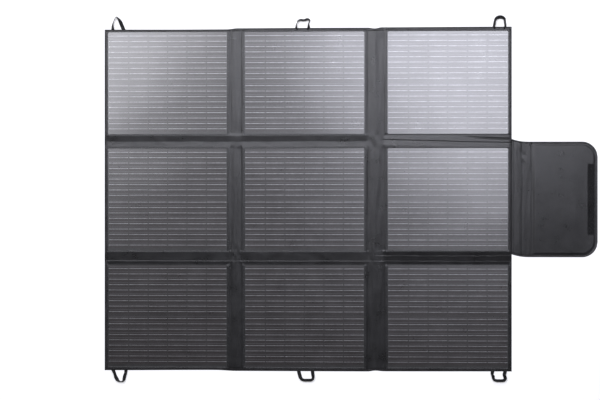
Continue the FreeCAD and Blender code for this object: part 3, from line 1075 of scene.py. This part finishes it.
def hem_seam(x0, x1, y0, y1):
    """The parts of the hem's seam that lie between two X and two Y values."""
    lines = []
    seam = MAT.grown(-HEM_SEAM)
    x_from, x_to = max(x0, seam.x0), min(x1, seam.x1)
    y_from, y_to = max(y0, seam.y0), min(y1, seam.y1)
    for y in (seam.y0, seam.y1):
        if x_to - x_from > 2 * MM and y0 < y < y1:
            lines.append(seam_line((x_from, y), (x_to, y)))
    for x in (seam.x0, seam.x1):
        if y_to - y_from > 2 * MM and x0 < x < x1:
            lines.append(seam_line((x, y_from), (x, y_to)))
    return lines


for row in ROWS:
    limits = row_limits(row)
    for column in COLUMNS:
        lines = box_seam(WINDOW[row, column].grown(WINDOW_SEAM))
        lines += hem_seam(*COLUMN_LIMITS[column], *limits)
        send(stitches(f"stitches_{row}_{column}", lines), f"tile_{row}_{column}")
    if row != "middle":
        for side in SIDES:
            lines = hem_seam(SPINE[side].x0, SPINE[side].x1, *limits)
            send(stitches(f"stitches_{row}_spine_{side}", lines), f"spine_{row}_{side}")

# the hem's seam at the two ends of the cloth between rows
for row, sign in FOLDING_ROWS:
    for column in SIDES:
        lines = hem_seam(*COLUMN_LIMITS[column], *row_gap_limits(row, sign))
        seams = stitches(f"stitches_row_fold_{row}_{column}", lines)
        x = COLUMN_LIMITS[column][0]
        bend_row(seams, x, sign)

# the seam that holds the flap's binding
BINDING_SEAM = 3.7 * MM
BINDING_LIFT = 0.12 * MM


def binding_seam(x0, x1):
    """The seam along both sides of the flap between two X values."""
    lines = []
    for side in (0, 1):
        spots = []
        for x in steps(x0, x1, 2.5 * MM):
            y = flap_sides(x)[side] + (BINDING_SEAM if side == 0 else -BINDING_SEAM)
            spots.append((x, y, flap_height(x, y) + BINDING_LIFT))
        lines.append(spots)
    return lines


def binding_end():
    """The seam round the flap's rounded end."""
    spots = []
    radius = FLAP_RADIUS - BINDING_SEAM
    for sign, turns in ((-1, range(0, 19)), (1, range(18, -1, -1))):
        for turn in turns:
            angle = turn * math.pi / 36
            x = FLAP_ROUND + radius * math.sin(angle)
            y = sign * (FLAP_HALF - FLAP_RADIUS + radius * math.cos(angle))
            spots.append((x, y, flap_height(x, y) + BINDING_LIFT))
    return spots


root_seam = stitches("stitches_flap_root", binding_seam(MAT.x1 + 3 * MM, FLAP_SPINE.x))
bend_column(root_seam, FLAP_SPINE.x0)
link_seam = stitches("stitches_flap_crease", binding_seam(FLAP_SPINE.x, FLAP_START))
bend_column(link_seam, FLAP.x0)
flap_seam = stitches("stitches_flap", binding_seam(FLAP_START, FLAP_ROUND) + [binding_end()])
send(flap_seam, "flap")

# ---------------------------------------------------------------- hook tape on the flap
TAPE = rect_of("hook_strip")
HOOK_BASE = 0.5 * MM
HOOK_FIELD = TAPE.grown(-3.1 * MM)  # a plain border is left round the hooks


def hook_tape():
    """The tape under the hooks: a thin plate with rounded corners, edges and a plain border."""
    loop = frame_loops(TAPE, 3 * MM, TAPE, 5 * MM, 4)[0]
    bm = bmesh.new()
    rings = []
    for inset, height in (
        (0.0, 0.0), (0.0, 0.3), (0.25, 0.42), (1.0, 0.45), (1.8, 0.45), (2.2, 0.3), (2.8, 0.42),
    ):
        kept_x, kept_y = 1 - inset * MM / TAPE.half_x, 1 - inset * MM / TAPE.half_y
        top = FLAP_TOP - 0.02 * MM + height * MM
        spots = [(TAPE.x + (x - TAPE.x) * kept_x, TAPE.y + (y - TAPE.y) * kept_y) for x, y in loop]
        rings.append([bm.verts.new((x, y, top)) for x, y in spots])
    return closed_tube(bm, rings, "hook_tape", HOOKS)


send(hook_tape(), "flap", "hook_strip", slot="touch_fastener")
hooks = grown_by(
    TAPE_HOOKS, "tape_hooks", points_mesh("tape_middle", [(TAPE.x, TAPE.y, FLAP_TOP + HOOK_BASE)]),
    Tape_Width=2 * HOOK_FIELD.half_x, Tape_Length=2 * HOOK_FIELD.half_y, Hook_Height=0.7 * MM,
    Material=HOOKS,
)
send(hooks, "flap", slot="touch_fastener")
lines = box_seam(TAPE.grown(-1.5 * MM), lambda x, y: FLAP_TOP + 0.42 * MM)
tape_stitches = stitches(
    "stitches_hook_tape", lines, Stitch_Pitch=3.6 * MM, Stitch_Length=2.6 * MM
)
send(tape_stitches, "flap", slot="touch_fastener")

# ---------------------------------------------------------------- webbing loops
TAPE_WIDTH, TAPE_THICK = 12.2 * MM, 1.1 * MM
TACK_START, TACK_END, TACK_HALF = 2.8 * MM, 8.2 * MM, 4.5  # half a box's width is in mm
# one loop each: points from foot to foot as sideways, outwards, up (mm) and the tape's roll
# (degrees from flat)
LOOPS = {
    ("top", "left"): (
        (-17, -9, 1, 0), (-17, 0, 4, 36), (-17.2, 7, 5, 48), (-16.5, 14, 5.7, 60),
        (-13.8, 24, 6.4, 73), (-9.5, 34, 6.6, 77), (-5.5, 39.5, 6.6, 82), (-2.5, 39.8, 6.6, 82),
        (1.3, 34.5, 6.2, 64), (6.6, 27.5, 5, 42), (10.2, 20.5, 3.6, 22), (14, 10.5, 2.8, 12),
        (18.5, 0.3, 2.6, 18), (22, -9, 1, 0),
    ),
    ("top", "centre"): (
        (-27.3, -9, 1, 0), (-27.4, 1, 4.8, 54), (-27.1, 7.5, 5.9, 67), (-26.9, 13, 6.4, 78),
        (-24, 18, 6.5, 80), (-20.5, 24, 6, 58), (-12, 27, 5.6, 50), (-4, 26, 5.4, 48),
        (3, 27, 5.5, 46), (9.5, 29, 5.6, 42), (16, 27, 6, 56), (17.6, 21.5, 6.4, 74),
        (15.9, 17, 6.5, 80), (14.5, 12, 6.3, 72), (14.7, 5, 5.2, 52), (14.8, -2, 3.6, 36),
        (14.8, -9, 1, 0),
    ),
    ("top", "right"): (
        (-15, -9, 1, 0), (-15, 1, 4.8, 52), (-13.4, 9, 5.2, 50), (-12.4, 16, 5.4, 54),
        (-11.2, 21.5, 5.6, 56), (-8, 28, 5, 40), (-2, 32.5, 4.2, 20), (6, 34.2, 3.6, 4),
        (14, 32.8, 4.2, 18), (20, 28.2, 5, 38), (21.6, 22, 5.6, 52), (22.6, 15, 5.4, 50),
        (23.5, 8, 5.2, 50), (23.5, 0, 4.4, 46), (23.5, -9, 1, 0),
    ),
    ("bottom", "left"): (
        (-18, -9, 1, 0), (-15, 1, 4, 36), (-11, 9, 5, 46), (-8.7, 16, 5.2, 48), (-6.6, 23, 4.6, 34),
        (-4, 28, 3.6, 22), (-1.6, 32, 4.2, 30), (3, 36.5, 6, 64), (11, 38.4, 6.6, 80),
        (18.5, 36.5, 6, 60), (21, 32, 4.4, 30), (22.2, 26, 3.4, 16), (24, 18, 3.6, 22),
        (26.8, 10, 3.8, 28), (27.6, 2, 3.2, 20), (28, -9, 1, 0),
    ),
    ("bottom", "centre"): (
        (-19, -9, 1, 0), (-18.7, 3, 2.8, 10), (-17, 10, 2.8, 8), (-15, 17, 3.2, 14),
        (-13, 22.5, 4, 26), (-8.5, 28.5, 5.4, 44), (-1, 31, 5.6, 46), (7, 31.3, 5.4, 44),
        (15, 31.2, 5.4, 44), (23, 30.6, 5.6, 46), (28.3, 27.2, 5.4, 48), (29.5, 21.7, 4.4, 34),
        (29, 16, 3.8, 28), (28, 9, 3.4, 20), (27.3, 2, 3, 16), (27, -9, 1, 0),
    ),
    ("bottom", "right"): (
        (-19, -9, 1, 0), (-19.8, 2, 2.8, 10), (-21.2, 6.4, 4.4, 34), (-20.7, 10, 5.2, 48),
        (-19, 13.5, 5, 42), (-17.3, 17, 4, 26), (-16.5, 22, 4.8, 38), (-13.5, 27.5, 5.4, 46),
        (-6, 30, 5.4, 46), (3, 30.3, 5.4, 45), (12, 30.4, 5.4, 44), (19.5, 28.8, 5.2, 40),
        (23, 24, 4.4, 30), (22.4, 19, 4, 28), (20.2, 13, 4, 30), (20.3, 8, 3.4, 20),
        (22.2, 2, 3, 20), (23, -9, 1, 0),
    ),
}


def smooth_points(points, count):
    """Points of a smooth line through given ones."""
    result = []
    for k in range(len(points) - 1):
        p0 = Vector(points[max(0, k - 1)])
        p1, p2 = Vector(points[k]), Vector(points[k + 1])
        p3 = Vector(points[min(len(points) - 1, k + 2)])
        for i in range(count):
            t = i / count
            bend = (2 * p0 - 5 * p1 + 4 * p2 - p3) * t * t + (3 * p1 - p0 - 3 * p2 + p3) * t**3
            result.append(0.5 * (2 * p1 + (p2 - p0) * t + bend))
    result.append(Vector(points[-1]))
    return result


def webbing_loop(name, points):
    """A woven tape swept along points of (x, y, z, roll), with rounded edges."""
    spots = smooth_points(points, 6)
    places = [Vector(p[:3]) for p in spots]
    profile = (
        (-1.0, -0.45), (-0.94, -1.0), (-0.5, -1.0), (0.0, -1.0), (0.5, -1.0), (0.94, -1.0),
        (1.0, -0.45), (1.0, 0.45), (0.94, 1.0), (0.5, 1.0), (0.0, 1.0), (-0.5, 1.0),
        (-0.94, 1.0), (-1.0, 0.45),
    )
    bm = bmesh.new()
    rings = []
    for k, (place, spot) in enumerate(zip(places, spots)):
        ahead = places[min(k + 1, len(places) - 1)] - places[max(k - 1, 0)]
        ahead.normalize()
        flat = Vector((ahead.y, -ahead.x, 0)).normalized()
        upright = flat.cross(ahead).normalized()
        if upright.z < 0:
            upright = -upright
        roll = math.radians(spot[3])
        across = flat * math.cos(roll) + upright * math.sin(roll)
        through = -flat * math.sin(roll) + upright * math.cos(roll)
        across, through = across * (TAPE_WIDTH / 2), through * (TAPE_THICK / 2)
        rings.append([bm.verts.new(place + across * u + through * v) for u, v in profile])
    return closed_tube(bm, rings, name, WEBBING, 60)


def loop_place(row, column):
    """The middle of a loop's feet, the mat's edge there and the way outwards."""
    edge, sign = (MAT.y1, 1) if row == "top" else (MAT.y0, -1)
    return rect_of(f"strap_{row}_{column}").x, edge, sign


for (row, column), points in LOOPS.items():
    middle, edge, sign = loop_place(row, column)
    placed = [(middle + u * MM, edge + sign * v * MM, w * MM, roll) for u, v, w, roll in points]
    loop = webbing_loop(f"webbing_loop_{row}_{column}", placed)
    send(loop, f"strap_{row}_{column}", f"strap_{row}_{column}", slot="webbing")
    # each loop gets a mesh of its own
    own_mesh(loop)

# a box of close stitches holds each foot of a loop
for (row, column), points in LOOPS.items():
    middle, edge, sign = loop_place(row, column)
    lines = []
    for foot in (points[0][0], points[-1][0]):
        x0, x1 = middle + (foot - TACK_HALF) * MM, middle + (foot + TACK_HALF) * MM
        lines += box_seam(Rect(x0, x1, edge - sign * TACK_START, edge - sign * TACK_END))
    tacks = stitches(
        f"bar_tacks_{row}_{column}", lines, Stitch_Pitch=1.9 * MM, Stitch_Length=1.7 * MM
    )
    send(tacks, f"tile_{row}_{column}")

# ---------------------------------------------------------------- carried-over CAD nodes
for row in ROWS:
    for column in COLUMNS:
        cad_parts[f"laminate_{row}_{column}"].data.materials[0] = BACKSHEET
        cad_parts[f"cells_{row}_{column}"].data.materials[0] = CELL
for node, material in (
    ("loop_strip", FLEECE), ("flap_board", BINDING_TAPE),
    ("diode_module", BINDING_TAPE), ("cable_gland", BINDING_TAPE),
):
    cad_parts[node].data.materials[0] = material

# ---------------------------------------------------------------- floor, light and camera
VIEW_WIDTH = 2.028
SENSOR_WIDTH = 36
CAMERA_HEIGHT = 5.65
CAMERA_LEAN = math.radians(2.2)  # it stands a little to the right of the middle
AIM_X, AIM_Y = -15 * MM, -2 * MM
FLOOR_HALF = 12
FLOOR_GLOW = 0.35
WORLD_LIGHT = 0.135


def backdrop():
    """A pale floor that shows white, and keeps the mat's shadow."""
    bm = bmesh.new()
    bmesh.ops.create_grid(bm, x_segments=1, y_segments=1, size=FLOOR_HALF)
    for vert in bm.verts:
        vert.co.z = -0.05 * MM
    material, n, shader, position = new_material("pale_floor")
    tree = material.node_tree
    shader.inputs["Base Color"].default_value = (0.86, 0.86, 0.87, 1)
    shader.inputs["Roughness"].default_value = 0.9
    path = tree.nodes.new("ShaderNodeLightPath")
    seen = n.plus(path.outputs["Is Camera Ray"], path.outputs["Is Glossy Ray"])
    seen = n.math("ADD", seen, path.outputs["Is Transmission Ray"], clamp=True)
    glow = n.add("ShaderNodeEmission", Color=(1, 1, 1, 1), Strength=n.times(seen, FLOOR_GLOW))
    total = tree.nodes.new("ShaderNodeAddShader")
    tree.links.new(shader.outputs["BSDF"], total.inputs[0])
    tree.links.new(glow.outputs["Emission"], total.inputs[1])
    tree.links.new(total.outputs[0], tree.nodes["Material Output"].inputs["Surface"])
    floor = finish_mesh(bm, "floor", material)


def softbox(name, place, aim, width, height, power, colour=(1, 1, 1)):
    """A rectangular lamp aimed at a point."""
    lamp = bpy.data.lights.new(name, "AREA")
    lamp.shape = "RECTANGLE"
    lamp.size, lamp.size_y = width, height
    lamp.energy = power
    lamp.color = colour
    obj = new_object(name, lamp)
    obj.location = place
    obj.rotation_euler = (Vector(aim) - Vector(place)).to_track_quat("-Z", "Y").to_euler()


backdrop()
softbox("key_softbox", (0.86, 1.08, 4.6), (0.5, 0.6, 0), 1.7, 1.7, 102, (0.89, 0.90, 1.0))
softbox("left_softbox", (-1.71, 1.46, 4.5), (-0.6, 0.6, 0), 1.8, 1.9, 108, (0.93, 0.935, 1.0))
softbox("top_panel", (0.2, 3.6, 2.8), (0.0, 0.2, 0), 3.0, 1.2, 30)

world = bpy.data.worlds.new("studio")
bpy.context.scene.world = world
world.use_nodes = True
sky = world.node_tree.nodes["Background"].inputs
sky["Color"].default_value = (1.0, 0.97, 0.97, 1)
sky["Strength"].default_value = WORLD_LIGHT

camera_data = bpy.data.cameras.new("camera")
camera = new_object("camera", camera_data)
camera_data.sensor_width = SENSOR_WIDTH
camera_data.lens = SENSOR_WIDTH * CAMERA_HEIGHT / VIEW_WIDTH
camera_data.clip_end = 100
camera.location = (
    AIM_X + CAMERA_HEIGHT * math.sin(CAMERA_LEAN), AIM_Y, CAMERA_HEIGHT * math.cos(CAMERA_LEAN)
)
camera.rotation_euler = (0, CAMERA_LEAN, 0)
bpy.context.scene.camera = camera
bpy.context.scene.view_settings.view_transform = "Standard"
